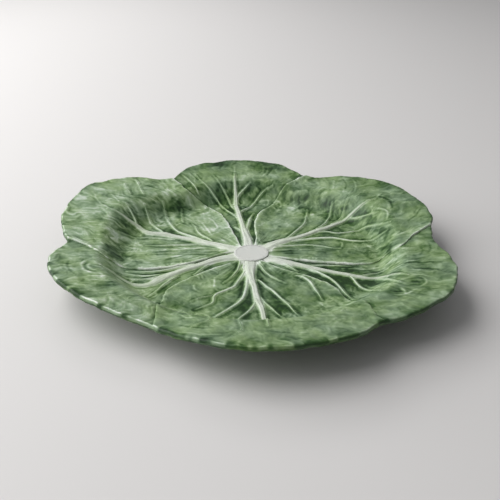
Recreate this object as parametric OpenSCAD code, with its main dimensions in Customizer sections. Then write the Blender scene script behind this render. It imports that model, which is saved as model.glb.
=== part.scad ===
// Serving platter in the form of a cabbage head seen from above: six overlapping leaves round a cut stalk.
// It is moulded and fired as one piece of glazed earthenware. Each module is one modelled form of the mould.
// Millimetres, +Z up, the foot stands on Z = 0. The front leaf points along -Y.
// Angles are measured anticlockwise from +X, and leaves and seams are numbered that way round.

/* [Platter] */
// Span across the leaf tips, twice the radius that the rim shares are taken from
platter_d = 320; // [260:1:400]
// Diameter of the flat floor, out to where the leaves turn up
well_d = 196; // [160:1:236]
// Thickness of the clay at the floor
body_t = 5; // [4:0.1:7]
// Thickness of the clay at the rim
rim_t = 4.2; // [3:0.1:6]
// Height of an average leaf tip over the floor
rim_rise = 20; // [12:0.5:30]

/* [Leaf edges] */
// Height of a leaf edge where it lies over the next leaf
lip_h = 1.2; // [0.6:0.1:2]
// Width over which that raised edge dies away into its own leaf
lip_w = 9; // [5:0.5:14]

/* [Ribs] */
// Width of a leaf's middle rib a little way out from the stalk
midrib_w = 8; // [5:0.1:10]
// Height of a middle rib over the leaf
midrib_h = 2; // [1:0.1:3.5]
// Width of an average side vein
vein_w = 2.2; // [1.4:0.1:3.5]
// Height of a side vein over the leaf
vein_h = 0.9; // [0.5:0.1:1.6]
// Depth to which ribs and veins are rooted before the leaf is taken away from them
ridge_root = 1.4; // [1:0.1:2]
// Least space between a side vein's middle line and a leaf edge
vein_margin = 2; // [1:0.1:4]

/* [Stalk] */
// Diameter of the cut stalk in the middle
stalk_d = 27; // [18:0.5:36]
// Height of the cut face's edge over the floor
stalk_rise = 1.5; // [0.8:0.1:3]
// Height of the cut face's middle over its edge
stalk_crown = 0.6; // [0.2:0.1:1.5]

/* [Foot] */
// Height of the foot ring
foot_h = 5; // [4:0.1:10]
// Width of the foot ring
foot_w = 6; // [4:0.1:9]
// Space between the foot ring and the line where the leaves turn up
foot_inset = 7; // [2:0.5:20]
// Radius of the foot ring's lower corners
foot_round = 1.4; // [0.5:0.1:1.8]

/* [Hidden] */

round_fn = 96;
leaf_count = 6;
platter_r = platter_d / 2;
well_r = well_d / 2;
stalk_r = stalk_d / 2;
// The leaves stop this far short of the stalk, so that their straight cells clear its round side
stalk_gap = 0.02;
leaf_in_r = stalk_r + stalk_gap;
floor_z = foot_h + body_t;
foot_out_r = well_r - foot_inset;
// A cut tool reaches this far past what it cuts
overrun = 1;

// Seams, ribs and veins are placed by their share of the way from the stalk out to a far radius,
// which is this share of the platter's
far_share = 0.8875;
far_r = far_share * platter_r;

// Outline of the rim: angle, and radius as a share of the platter's radius
rim_shares = [
    [6.4, 0.894], [13, 0.938], [31.8, 0.972], [42, 0.975], [52.6, 0.938], [60, 0.894],
    [66.6, 0.85], [72.6, 0.881], [80, 0.963], [86, 0.981], [94, 1], [103.5, 0.994], [110.7, 0.981],
    [115.6, 0.934], [121.9, 0.86], [128.6, 0.928], [133, 0.988], [141, 1.029], [147, 1.062],
    [155, 1.025], [169, 0.975], [181, 0.887], [186, 0.897], [194, 0.948], [202, 0.963], [212, 0.956],
    [224, 0.922], [236, 0.886], [244.4, 0.879], [253.5, 0.93], [260, 0.956], [270, 0.991], [284.5, 0.988],
    [295.3, 0.969],
    [303.5, 0.929], [311, 0.956], [319, 0.981], [326, 1], [340, 0.975], [346.8, 0.938], [356.8, 0.875],
];

// Height of the rim: angle, and height over the floor as a share of the rim's rise
rise_shares = [
    [2, 0.85], [14, 0.97], [31, 1.05], [50, 0.96], [66.6, 0.785], [79, 0.9], [94, 0.96], [109, 0.92],
    [122, 0.84], [135, 1], [150, 1.08], [166, 0.97], [181, 0.74], [195, 0.96], [211, 1.07], [229, 0.94],
    [243, 0.74], [256, 0.97], [272, 1.07], [289, 1.02], [304, 0.85], [315, 0.87], [330, 0.88], [346, 0.86],
];
// The wall takes this share of the rise in this share of the way out, and the rest is an even slope
wall_rise_share = 0.62;
wall_run_share = 0.42;

// Seams between neighbouring leaves: angle at each station on the way out, one row a seam
station_shares = [0, 0.12, 0.25, 0.4, 0.52, 0.62, 0.7, 0.78, 0.88, 1];
seam_turns = [
    [-19, -16, -15.3, -13.5, -12.2, -9.3, -4.5, -5.3, 2, 6.5],
    [81, 82.8, 86.7, 87, 84.3, 80.2, 78, 75, 71.3, 66.5],
    [121, 112.8, 109.9, 108.4, 109.3, 111.7, 114.4, 119.5, 120.4, 122.3],
    [168, 188.5, 197.3, 199.8, 197.8, 194.7, 191.8, 190.8, 184.3, 180.2],
    [230, 221, 219.6, 220.6, 222.3, 228, 232, 236.3, 240.8, 244.3],
    [308, 311.8, 318, 320.3, 319.3, 315, 314, 311, 308, 304.5],
];
// Every other leaf lies on top, with both its edges raised over its neighbours
lipped = [true, false, true, false, true, false];

// Middle ribs, one list a leaf: share of the way out, angle, and share of a middle rib's width
midrib_shares = [
    [
        [0, 43, 1.19], [0.1, 42.8, 1], [0.2, 38.5, 0.65], [0.3, 37.4, 0.49], [0.4, 37.3, 0.57],
        [0.5, 36.9, 0.59], [0.6, 37.4, 0.55], [0.7, 37.4, 0.38], [0.78, 35.8, 0.25], [0.88, 33.8, 0.11],
    ],
    [
        [0, 97, 1], [0.1, 96.8, 0.85], [0.2, 97.7, 0.64], [0.3, 98.1, 0.48], [0.4, 98.1, 0.49],
        [0.5, 98.2, 0.51], [0.6, 98.2, 0.46], [0.7, 97.6, 0.38], [0.8, 97.2, 0.23], [0.93, 96.5, 0.1],
    ],
    [
        [0, 149, 1], [0.1, 150, 0.81], [0.2, 151.3, 0.69], [0.3, 152.3, 0.69], [0.4, 153.4, 0.6],
        [0.5, 153.9, 0.66], [0.6, 155.6, 0.66], [0.65, 155.1, 0.62], [0.7, 154.4, 0.43],
        [0.78, 155.8, 0.21], [0.9, 157, 0.11],
    ],
    [
        [0, 199, 1.12], [0.1, 199.8, 0.94], [0.2, 204.3, 0.79], [0.3, 206.8, 0.69], [0.4, 208.7, 0.75],
        [0.5, 211, 1], [0.56, 212.8, 0.75], [0.62, 212, 0.56], [0.68, 207.8, 0.38], [0.74, 204, 0.22],
        [0.8, 201.8, 0.13],
    ],
    [
        [0, 267.5, 1.12], [0.1, 268.3, 1], [0.2, 270.2, 0.62], [0.3, 272.6, 0.52], [0.4, 273.2, 0.62],
        [0.46, 273.9, 0.62], [0.52, 275, 0.46], [0.62, 275.2, 0.42], [0.7, 275.2, 0.25],
        [0.8, 274.8, 0.16], [0.92, 274.6, 0.1],
    ],
    [
        [0, 328, 1.12], [0.1, 329.7, 0.91], [0.2, 332, 0.65], [0.3, 332.7, 0.5], [0.4, 333.5, 0.44],
        [0.5, 334.5, 0.47], [0.6, 335, 0.44], [0.7, 336.4, 0.31], [0.76, 335, 0.22], [0.86, 332.6, 0.1],
    ],
];
// Height of a middle rib from its root to its end
midrib_h_shares = [[0, 1], [0.5, 0.9], [0.8, 0.7], [1, 0.2]];
midrib_steps = 16;

// Side veins, one list a leaf. Each is its girth, then points of its line: share of the way out, and angle
vein_shares = [
    [
        [0.9, [0.45, 40.3], [0.5, 41], [0.55, 42.2], [0.6, 44.3], [0.65, 46.1], [0.7, 48.2], [0.75, 50]],
        [0.5, [0.58, 39.5], [0.65, 40.2], [0.7, 40.8], [0.75, 42.9], [0.82, 44.3]],
        [
            1.1, [0.17, 42.5], [0.22, 44], [0.3, 47.4], [0.35, 48.7],
            [0.45, 51.3], [0.52, 54.5], [0.6, 57.7], [0.66, 60],
        ],
        [
            1.7, [0.2, 34], [0.27, 31], [0.33, 28.8], [0.4, 26], [0.46, 23.5], [0.5, 20],
            [0.54, 17], [0.6, 14.8], [0.66, 14], [0.72, 13.2], [0.76, 12],
        ],
        [
            1.2, [0.05, 33], [0.1, 29.5], [0.15, 26], [0.2, 23], [0.25, 20.2],
            [0.3, 17.3], [0.35, 14], [0.4, 9.8], [0.45, 8.4],
        ],
        [
            1.1, [0.42, 35.5], [0.47, 32.5], [0.51, 28.5], [0.55, 27], [0.6, 26.2],
            [0.66, 25.5], [0.7, 24.9], [0.735, 21.7], [0.77, 17.6], [0.8, 15.5],
        ],
        [0.8, [0.68, 37], [0.7, 36], [0.72, 33], [0.74, 31], [0.77, 28], [0.8, 25.5]],
        [0.7, [0.03, 20], [0.08, 17.3], [0.13, 15], [0.18, 13.3]],
    ],
    [
        [1.5, [0.18, 96.3], [0.25, 94.3], [0.32, 92.6], [0.4, 91], [0.46, 89.6], [0.5, 88.3]],
        [
            1.1, [0.5, 97], [0.54, 95], [0.57, 92.6], [0.6, 90.4], [0.65, 89],
            [0.7, 87.1], [0.74, 85], [0.77, 82.8], [0.79, 80.3],
        ],
        [0.9, [0.7, 97], [0.73, 95.9], [0.76, 93.7], [0.79, 91.6], [0.81, 90.4]],
        [
            0.7, [0.44, 100.3], [0.48, 101.5], [0.55, 104], [0.6, 105],
            [0.7, 106.6], [0.75, 108], [0.86, 111], [1, 111.6],
        ],
        [0.5, [0.56, 99.5], [0.62, 100.4], [0.7, 101.1], [0.76, 102.5], [0.82, 103.9], [0.92, 105.2]],
        [0.8, [0.76, 115], [0.85, 115.3], [0.93, 115.7], [1, 116.4]],
        [0.9, [0.22, 102], [0.26, 103.6], [0.3, 105.8]],
    ],
    [
        [0.9, [0.2, 143.3], [0.25, 141], [0.3, 139.8], [0.35, 138], [0.4, 134.6], [0.43, 132.6], [0.48, 132]],
        [
            1.3, [0.22, 149], [0.28, 147.6], [0.35, 147.1], [0.4, 146.8], [0.45, 146.2], [0.5, 144.7],
            [0.54, 142.6], [0.6, 140], [0.65, 137.7], [0.7, 135.7], [0.77, 133],
        ],
        [0.5, [0.53, 134.6], [0.57, 132.6], [0.6, 130.7], [0.65, 128.6], [0.69, 126.5]],
        [1, [0.5, 154], [0.53, 152.7], [0.56, 150.8], [0.6, 149.4], [0.65, 147.6], [0.7, 145.8], [0.8, 141.8]],
        [0.8, [0.7, 155], [0.73, 153.3], [0.75, 152.1], [0.8, 150.4], [0.86, 148.5]],
        [
            1.1, [0.2, 155.5], [0.25, 158], [0.3, 161.3], [0.35, 164],
            [0.4, 166], [0.45, 167.6], [0.5, 169], [0.56, 169.5],
        ],
        [0.7, [0.42, 157.5], [0.5, 159], [0.58, 160.8], [0.65, 162.7], [0.7, 163.8], [0.75, 166]],
        [0.8, [0.05, 162.5], [0.1, 166], [0.15, 169], [0.2, 171.2], [0.28, 173.5]],
        [0.7, [0.1, 176.8], [0.15, 177.2], [0.26, 177.7], [0.42, 178], [0.52, 180]],
        [0.7, [0.86, 138.5], [0.95, 136], [1, 134.6], [1.08, 133]],
        [0.7, [0.92, 142], [1, 140], [1.08, 137.5]],
    ],
    [
        [
            1.4, [0.26, 200.5], [0.33, 201], [0.4, 202], [0.45, 202],
            [0.5, 201], [0.55, 199.7], [0.6, 198.2], [0.65, 196.3],
        ],
        [1, [0.44, 209], [0.48, 208.5], [0.53, 208], [0.58, 207], [0.62, 205.5], [0.66, 203.2], [0.7, 201]],
        [0.9, [0.4, 213.5], [0.45, 215], [0.5, 216.8], [0.55, 219], [0.6, 220.8], [0.65, 221.6]],
        [0.9, [0.18, 210], [0.22, 212.2], [0.27, 215.6], [0.31, 218.6]],
    ],
    [
        [0.9, [0.01, 236], [0.03, 241], [0.06, 245], [0.1, 248.2], [0.15, 249], [0.2, 248.3], [0.28, 246]],
        [
            1.4, [0.12, 261], [0.15, 260], [0.2, 258.4], [0.25, 257.3], [0.3, 256.3], [0.33, 254],
            [0.36, 251.5], [0.4, 248.4], [0.44, 247.9], [0.5, 249.8], [0.55, 247.5], [0.6, 245.2],
        ],
        [0.6, [0.42, 247.2], [0.45, 245], [0.47, 242.5], [0.5, 240.6], [0.54, 239.5]],
        [
            1.5, [0.15, 266.5], [0.25, 266.3], [0.33, 266], [0.4, 265.3], [0.45, 263.8],
            [0.5, 261.4], [0.55, 258.8], [0.6, 256.6], [0.66, 254.5], [0.74, 253.5],
        ],
        [1.1, [0.46, 272.6], [0.5, 271.2], [0.54, 269.6], [0.58, 267.6], [0.63, 265.2], [0.72, 264.5]],
        [
            1.1, [0.22, 277.5], [0.25, 280], [0.3, 282.3], [0.35, 284.9], [0.4, 286.2],
            [0.45, 287.3], [0.5, 288.5], [0.6, 289.2], [0.66, 290],
        ],
        [0.7, [0.42, 276], [0.47, 277.3], [0.5, 278.5], [0.55, 280.3], [0.6, 281.8], [0.65, 283.5]],
        [0.9, [0.02, 292.5], [0.06, 290.6], [0.12, 290.3], [0.18, 292], [0.25, 296], [0.3, 299]],
        [
            1.2, [0.27, 313], [0.3, 315], [0.35, 314.8], [0.38, 313.9],
            [0.41, 312.2], [0.45, 310], [0.5, 308], [0.56, 305.5],
        ],
        [0.5, [0.75, 255], [0.85, 257.5], [0.9, 255.5], [0.95, 254]],
        [0.4, [0.8, 265.5], [0.88, 267], [0.95, 267.5], [1, 266]],
    ],
    [
        [
            1.3, [0.24, 331.3], [0.3, 330], [0.35, 328.9], [0.4, 327.4], [0.45, 325.6],
            [0.5, 323], [0.55, 320.3], [0.6, 317.8], [0.65, 316.4], [0.7, 315.8],
        ],
        [
            1.1, [0.52, 334], [0.55, 332.4], [0.58, 329.8], [0.62, 327.2],
            [0.68, 325.8], [0.72, 324.5], [0.76, 322.5], [0.8, 319.5],
        ],
        [0.9, [0.68, 336], [0.71, 334.5], [0.75, 332.2], [0.8, 329], [0.86, 326.5]],
        [1.1, [0.22, 334.5], [0.26, 335.8], [0.3, 338.5], [0.35, 341], [0.4, 343], [0.45, 344.3], [0.5, 345.2]],
        [0.8, [0.58, 336.5], [0.62, 339.5], [0.66, 341.5], [0.7, 343], [0.75, 345.5]],
        [1.4, [0.08, 326.5], [0.12, 325.8], [0.16, 324.8], [0.2, 323], [0.24, 321.2]],
    ],
];
// Width and height of a side vein from its start inside the middle rib to its end
vein_w_shares = [[0, 0.5], [0.15, 1], [0.6, 0.8], [1, 0.42]];
vein_h_shares = [[0, 1], [0.6, 0.9], [1, 0.5]];
// Veins are stepped at this share of the far radius
vein_step_share = 0.068;

// Width of a ridge at its crown, as a share of its width at its root
crown_w_share = 0.45;
// A middle rib has a shoulder under its crown, at these shares of its width and height
shoulder_w_share = 0.78;
shoulder_h_share = 0.6;

// Cells of a leaf: across it from edge to edge, along its floor, up its wall, and round the rim's edge
across_shares = [0, 0.05, 0.12, 0.2, 0.29, 0.38, 0.46, 0.54, 0.62, 0.71, 0.8, 0.88, 0.95, 1];
floor_shares = [0, 0.14, 0.3, 0.48, 0.66, 0.84, 1];
wall_shares = [0.08, 0.16, 0.24, 0.32, 0.42, 0.56, 0.72, 0.86];
edge_turns = [0, 45, 90];
edge_round_share = 0.45;
edge_round = edge_round_share * rim_t;

// Smooth line through the points of a table, level past its ends
function ease_slope(table, i) =
    let (a = table[max(i - 1, 0)], b = table[min(i + 1, len(table) - 1)])
    (b[1] - a[1]) / (b[0] - a[0]);

function ease(table, x) =
    let (
        i = max([for (n = [0 : len(table) - 2]) if (n == 0 || x >= table[n][0]) n]),
        run = table[i + 1][0] - table[i][0],
        t = min(max((x - table[i][0]) / run, 0), 1),
        t2 = t * t,
        t3 = t2 * t
    )
    (2 * t3 - 3 * t2 + 1) * table[i][1] + (3 * t2 - 2 * t3) * table[i + 1][1]
    + run * ((t3 - 2 * t2 + t) * ease_slope(table, i) + (t3 - t2) * ease_slope(table, i + 1));

function blend(t) = let (c = min(max(t, 0), 1)) c * c * (3 - 2 * c);

// A table of angles is carried on past the full turn, so that it closes on itself
function closed(table) = concat(
    [for (n = [2, 1]) [table[len(table) - n][0] - 360, table[len(table) - n][1]]],
    table,
    [for (n = [0, 1]) [table[n][0] + 360, table[n][1]]]
);
rim_table = closed(rim_shares);
rise_table = closed(rise_shares);

function within_turn(turn) = turn - 360 * floor(turn / 360);
function rim_r(turn) = platter_r * ease(rim_table, within_turn(turn));
function rim_z(turn) = rim_rise * ease(rise_table, within_turn(turn));
function way_out(turn, r) = max((r - well_r) / (rim_r(turn) - well_r), 0);
function share_r(share) = stalk_r + share * (far_r - stalk_r);

// Height of the leaves, without their raised edges
function rise_of(t) = wall_rise_share * blend(t / wall_run_share) + (1 - wall_rise_share) * t;
function bare_z(turn, r) = floor_z + rim_z(turn) * rise_of(way_out(turn, r));
function clay_t(turn, r) = body_t + (rim_t - body_t) * min(way_out(turn, r), 1);

// A seam's angle at a radius, the last seam being the first one, a full turn on
seam_tables = [for (row = seam_turns) [for (n = [0 : len(row) - 1]) [station_shares[n], row[n]]]];
function seam_turn(seam, r) =
    let (share = (r - stalk_r) / (far_r - stalk_r))
    seam < leaf_count ? ease(seam_tables[seam], share) : 360 + ease(seam_tables[0], share);

// Space between a place on a leaf and the nearer of its two edges
function edge_space(leaf, turn, r) =
    r * PI / 180 * max(min(turn - seam_turn(leaf, r), seam_turn(leaf + 1, r) - turn), 0);
function lip_z(leaf, turn, r) =
    lipped[leaf] ? lip_h * (1 - blend(edge_space(leaf, turn, r) / lip_w)) : 0;
function leaf_z(leaf, turn, r) = bare_z(turn, r) + lip_z(leaf, turn, r);

// Rows of a leaf: share of the floor, share of the wall, and how far round the rim's edge
rows = concat(
    [for (s = floor_shares) [s, 0, 0]],
    [for (s = wall_shares) [1, s, 0]],
    [for (a = edge_turns) [1, 1, a]]
);
function on_edge(row) = row[1] == 1;
function row_r(row, turn) =
    on_edge(row)
        ? rim_r(turn) - edge_round * (1 - sin(row[2]))
        : leaf_in_r + row[0] * (well_r - leaf_in_r) + row[1] * (rim_r(turn) - well_r);
// Where a row meets a seam, found by trying again from the last angle
function seam_spot(seam, row, tries, turn) =
    tries == 0 ? turn : seam_spot(seam, row, tries - 1, seam_turn(seam, row_r(row, turn)));
try_count = 5;
seam_spots = [
    for (seam = [0 : leaf_count])
        [for (row = rows) seam_spot(seam, row, try_count, seam_turn(seam, far_r))]
];

function cell_turn(leaf, i, u) =
    seam_spots[leaf][i] + u * (seam_spots[leaf + 1][i] - seam_spots[leaf][i]);
function spot(turn, r, z) = [r * cos(turn), r * sin(turn), z];
function edge_cut(row) = on_edge(row) ? edge_round * (1 - cos(row[2])) : 0;

function top_spot(leaf, i, u) =
    let (turn = cell_turn(leaf, i, u), r = row_r(rows[i], turn))
    spot(turn, r, leaf_z(leaf, turn, r) - edge_cut(rows[i]));
function under_spot(leaf, i, u) =
    let (turn = cell_turn(leaf, i, u), r = row_r(rows[i], turn))
    spot(turn, r, bare_z(turn, r) - clay_t(turn, r) + edge_cut(rows[i]));

// The platter is moved so that the middle of its outline lies over the origin
rim_spots = [for (leaf = [0 : leaf_count - 1]) for (u = across_shares) top_spot(leaf, len(rows) - 1, u)];
rim_xs = [for (p = rim_spots) p[0]];
rim_ys = [for (p = rim_spots) p[1]];
middle = [(min(rim_xs) + max(rim_xs)) / 2, (min(rim_ys) + max(rim_ys)) / 2, 0];

function quad(a, b, c, d) = [[a, b, c], [a, c, d]];
function joined(lists) = [for (list = lists) for (item = list) item];

// Closed shell of one leaf: upper side, underside, its two edges, and its inner and outer ends
module leaf(index, tint) {
    high = len(rows);
    wide = len(across_shares);
    under = high * wide;
    points = concat(
        [for (i = [0 : high - 1]) for (u = across_shares) top_spot(index, i, u)],
        [for (i = [0 : high - 1]) for (u = across_shares) under_spot(index, i, u)]
    );
    sides = [
        for (i = [0 : high - 2]) for (j = [0 : wide - 2])
            let (a = i * wide + j, b = a + 1, c = b + wide, d = a + wide)
            concat(quad(a, b, c, d), quad(under + a, under + d, under + c, under + b))
    ];
    edges = [
        for (i = [0 : high - 2])
            let (a = i * wide, b = a + wide, c = a + wide - 1, d = c + wide)
            concat(quad(a, b, under + b, under + a), quad(c, under + c, under + d, d))
    ];
    ends = [
        for (j = [0 : wide - 2])
            let (a = j, b = a + 1, c = (high - 1) * wide + j, d = c + 1)
            concat(quad(b, a, under + a, under + b), quad(c, d, under + d, under + c))
    ];
    color(tint) translate(-middle) polyhedron(points, joined(concat(sides, edges, ends)), convexity = 10);
}

// A length of ridge is the hull of two of these blocks, one at each of its ends
module block(place, heading, w, h, shouldered) {
    across = w / cos(45);
    translate([place[0], place[1], place[2] - ridge_root]) rotate([0, 0, heading + 45]) {
        cylinder(d1 = across, d2 = across * crown_w_share, h = ridge_root + h, $fn = 4);
        if (shouldered) cylinder(
            d1 = across, d2 = across * shoulder_w_share, h = ridge_root + h * shoulder_h_share, $fn = 4
        );
    }
}

module ridge(places, widths, heights, shouldered) {
    last = len(places) - 1;
    headings = [
        for (n = [0 : last])
            let (a = places[max(n - 1, 0)], b = places[min(n + 1, last)])
            atan2(b[1] - a[1], b[0] - a[0])
    ];
    for (n = [0 : last - 1])
        hull() for (m = [n, n + 1]) block(places[m], headings[m], widths[m], heights[m], shouldered);
}

function leaf_spot(leaf, turn, r) = spot(turn, r, leaf_z(leaf, turn, r));

module midrib_ridge(leaf) {
    turns = [for (p = midrib_shares[leaf]) [p[0], p[1]]];
    widths = [for (p = midrib_shares[leaf]) [p[0], p[2]]];
    end = turns[len(turns) - 1][0];
    steps = [for (n = [0 : midrib_steps]) n / midrib_steps];
    ridge(
        [for (t = steps) leaf_spot(leaf, ease(turns, t * end), share_r(t * end))],
        [for (t = steps) midrib_w * ease(widths, t * end)],
        [for (t = steps) midrib_h * ease(midrib_h_shares, t)],
        true
    );
}

// A vein keeps its distance from both edges of its own leaf
function kept_in(leaf, turn, r) =
    let (space = vein_margin / r * 180 / PI)
    min(max(turn, seam_turn(leaf, r) + space), seam_turn(leaf + 1, r) - space);

module vein_ridge(leaf, vein) {
    girth = vein[0];
    table = [for (n = [1 : len(vein) - 1]) vein[n]];
    start = table[0][0];
    run = table[len(table) - 1][0] - start;
    count = ceil(run / vein_step_share);
    steps = [for (n = [0 : count]) n / count];
    ridge(
        [
            for (t = steps)
                let (s = start + t * run, r = share_r(s))
                leaf_spot(leaf, kept_in(leaf, ease(table, s), r), r)
        ],
        [for (t = steps) vein_w * girth * ease(vein_w_shares, t)],
        [for (t = steps) vein_h * ease(vein_h_shares, t)],
        false
    );
}

// Room taken by the stalk, and by the leaf that carries a rib with the leaves on each side of it
module stalk_room() {
    room_r = (leaf_in_r + stalk_gap) / cos(180 / round_fn);
    cylinder(r = room_r, h = floor_z + midrib_h + overrun, $fn = round_fn);
}

module leaf_room(index) {
    for (step = [-1, 0, 1])
        translate(middle) leaf((index + step + leaf_count) % leaf_count, leaf_green);
}

module midrib(index) {
    color(rib_cream) translate(-middle) difference() {
        midrib_ridge(index);
        leaf_room(index);
        stalk_room();
    }
}

module side_veins(index) {
    color(vein_cream) translate(-middle) difference() {
        for (vein = vein_shares[index]) vein_ridge(index, vein);
        midrib_ridge(index);
        leaf_room(index);
        stalk_room();
    }
}

leaf_green = [0.5, 0.6, 0.45];
shaded_green = [0.38, 0.48, 0.36];
rib_cream = [0.8, 0.84, 0.79];
vein_cream = [0.72, 0.79, 0.68];
stalk_white = [0.78, 0.78, 0.76];
foot_grey_green = [0.6, 0.64, 0.56];

module leaf_back_right() { leaf(0, leaf_green); }
module leaf_back() { leaf(1, shaded_green); }
module leaf_back_left() { leaf(2, leaf_green); }
module leaf_front_left() { leaf(3, shaded_green); }
module leaf_front() { leaf(4, leaf_green); }
module leaf_front_right() { leaf(5, shaded_green); }

module midrib_back_right() { midrib(0); }
module midrib_back() { midrib(1); }
module midrib_back_left() { midrib(2); }
module midrib_front_left() { midrib(3); }
module midrib_front() { midrib(4); }
module midrib_front_right() { midrib(5); }

module side_veins_back_right() { side_veins(0); }
module side_veins_back() { side_veins(1); }
module side_veins_back_left() { side_veins(2); }
module side_veins_front_left() { side_veins(3); }
module side_veins_front() { side_veins(4); }
module side_veins_front_right() { side_veins(5); }

// Cut face of the stalk, slightly crowned, down through the whole floor
module stalk_disc() {
    crown_steps = 6;
    face = [
        for (n = [0 : crown_steps])
            let (r = stalk_r * n / crown_steps)
            [r, floor_z + stalk_rise + stalk_crown * (1 - pow(r / stalk_r, 2))]
    ];
    color(stalk_white) translate(-middle) rotate_extrude($fn = round_fn)
        polygon(concat([[stalk_r, foot_h], [0, foot_h]], face));
}

// Plain turned ring under the flat floor, its lower corners rounded
module foot_ring() {
    corner = [0 : 15 : 90];
    outer = [for (a = corner) [foot_out_r - foot_round * (1 - sin(a)), foot_round * (1 - cos(a))]];
    inner = [for (a = corner) [foot_out_r - foot_w + foot_round * (1 - cos(a)), foot_round * (1 - sin(a))]];
    color(foot_grey_green) translate(-middle) rotate_extrude($fn = round_fn)
        polygon(concat(outer, [[foot_out_r, foot_h], [foot_out_r - foot_w, foot_h]], inner));
}

leaf_back_right();
leaf_back();
leaf_back_left();
leaf_front_left();
leaf_front();
leaf_front_right();
midrib_back_right();
midrib_back();
midrib_back_left();
midrib_front_left();
midrib_front();
midrib_front_right();
side_veins_back_right();
side_veins_back();
side_veins_back_left();
side_veins_front_left();
side_veins_front();
side_veins_front_right();
stalk_disc();
foot_ring();
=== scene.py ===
import math

import bpy
import numpy as np
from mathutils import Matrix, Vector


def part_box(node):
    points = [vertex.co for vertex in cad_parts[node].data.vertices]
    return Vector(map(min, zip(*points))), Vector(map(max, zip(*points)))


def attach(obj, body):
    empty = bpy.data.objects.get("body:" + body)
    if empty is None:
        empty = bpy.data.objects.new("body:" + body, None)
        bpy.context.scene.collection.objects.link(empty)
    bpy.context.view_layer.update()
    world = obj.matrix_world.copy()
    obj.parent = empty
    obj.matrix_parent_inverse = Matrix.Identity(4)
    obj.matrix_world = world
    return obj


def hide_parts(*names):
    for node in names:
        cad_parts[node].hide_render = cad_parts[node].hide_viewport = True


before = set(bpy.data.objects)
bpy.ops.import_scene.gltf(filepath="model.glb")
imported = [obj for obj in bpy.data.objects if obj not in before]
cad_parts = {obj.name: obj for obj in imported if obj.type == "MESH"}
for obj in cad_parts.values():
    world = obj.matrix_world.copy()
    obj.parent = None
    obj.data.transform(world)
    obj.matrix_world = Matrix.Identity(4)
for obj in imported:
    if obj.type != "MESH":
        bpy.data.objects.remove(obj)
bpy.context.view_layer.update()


# Leaves
# Six overlapping cabbage leaves, moulded and fired as one body of white earthenware. A clear green glaze
# pools dark in the hollows and breaks pale over the veins, wrinkles and edges. Painted light is mixed into
# its
# colour too: highlights along the rim's edge on the lamp's side, shade beside the overlapped leaf edges and
# across the walls, and paler left leaves.
# Sizes here are millimetres from the stalk's axis, and angles are degrees anticlockwise from +X.
MM = 0.001
LEAVES = ["back_right", "back", "back_left", "front_left", "front", "front_right"]
LIPPED = [True, False, True, False, True, False]
stalk_low, stalk_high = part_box("stalk_disc")
axis_x, axis_y = ((stalk_low + stalk_high) / 2 / MM)[:2]
stalk_r = (stalk_high.x - stalk_low.x) / 2 / MM
foot_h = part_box("foot_ring")[1].z / MM
platter_r = 160
well_r = 98
body_t = 5
rim_t = 4.2
rim_rise = 20
lip_h = 1.2
lip_w = 9
far_r = 142
leaf_in_r = stalk_r + 0.02
floor_z = foot_h + body_t
edge_round = 0.45 * rim_t
wall_rise_share = 0.62
wall_run_share = 0.42

# Outline of the rim: angle, and share of the platter's radius
RIM = [
    (6.4, 0.894), (13, 0.938), (31.8, 0.972), (42, 0.975), (52.6, 0.938), (60, 0.894), (66.6, 0.85),
    (72.6, 0.881), (80, 0.963), (86, 0.981), (94, 1), (103.5, 0.994), (110.7, 0.981), (115.6, 0.934),
    (121.9, 0.86), (128.6, 0.928), (133, 0.988), (141, 1.029), (147, 1.062), (155, 1.025), (169, 0.975),
    (181, 0.887), (186, 0.897), (194, 0.948), (202, 0.963), (212, 0.956), (224, 0.922), (236, 0.886),
    (244.4, 0.879), (253.5, 0.93), (260, 0.956), (270, 0.991), (284.5, 0.988), (295.3, 0.969),
    (303.5, 0.929), (311, 0.956), (319, 0.981), (326, 1), (340, 0.975), (346.8, 0.938), (356.8, 0.875),
]
# Height of the rim: angle, and share of the rim's rise
RISE = [
    (2, 0.85), (14, 0.97), (31, 1.05), (50, 0.96), (66.6, 0.785), (79, 0.9), (94, 0.96), (109, 0.92),
    (122, 0.84), (135, 1), (150, 1.08), (166, 0.97), (181, 0.74), (195, 0.96), (211, 1.07), (229, 0.94),
    (243, 0.74), (256, 0.97), (272, 1.07), (289, 1.02), (304, 0.85), (315, 0.87), (330, 0.88), (346, 0.86),
]
# Seams between the leaves: angle at each station on the way from the stalk to the far radius
STATIONS = [0, 0.12, 0.25, 0.4, 0.52, 0.62, 0.7, 0.78, 0.88, 1]
SEAMS = [
    (-19, -16, -15.3, -13.5, -12.2, -9.3, -4.5, -5.3, 2, 6.5),
    (81, 82.8, 86.7, 87, 84.3, 80.2, 78, 75, 71.3, 66.5),
    (121, 112.8, 109.9, 108.4, 109.3, 111.7, 114.4, 119.5, 120.4, 122.3),
    (168, 188.5, 197.3, 199.8, 197.8, 194.7, 191.8, 190.8, 184.3, 180.2),
    (230, 221, 219.6, 220.6, 222.3, 228, 232, 236.3, 240.8, 244.3),
    (308, 311.8, 318, 320.3, 319.3, 315, 314, 311, 308, 304.5),
    (341, 344, 344.7, 346.5, 347.8, 350.7, 355.5, 354.7, 362, 366.5),
]


def ease(table, x):
    """Smooth line through the points of a table, level past its ends."""
    xs, ys = np.array(table, float).T
    steps = np.arange(len(xs))
    before, after = np.maximum(steps - 1, 0), np.minimum(steps + 1, len(xs) - 1)
    slopes = (ys[after] - ys[before]) / (xs[after] - xs[before])
    i = np.clip(np.searchsorted(xs, x, side="right") - 1, 0, len(xs) - 2)
    run = xs[i + 1] - xs[i]
    t = np.clip((x - xs[i]) / run, 0, 1)
    bend = (t**3 - 2 * t**2 + t) * slopes[i] + (t**3 - t**2) * slopes[i + 1]
    return ys[i] + (3 * t**2 - 2 * t**3) * (ys[i + 1] - ys[i]) + run * bend


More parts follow.
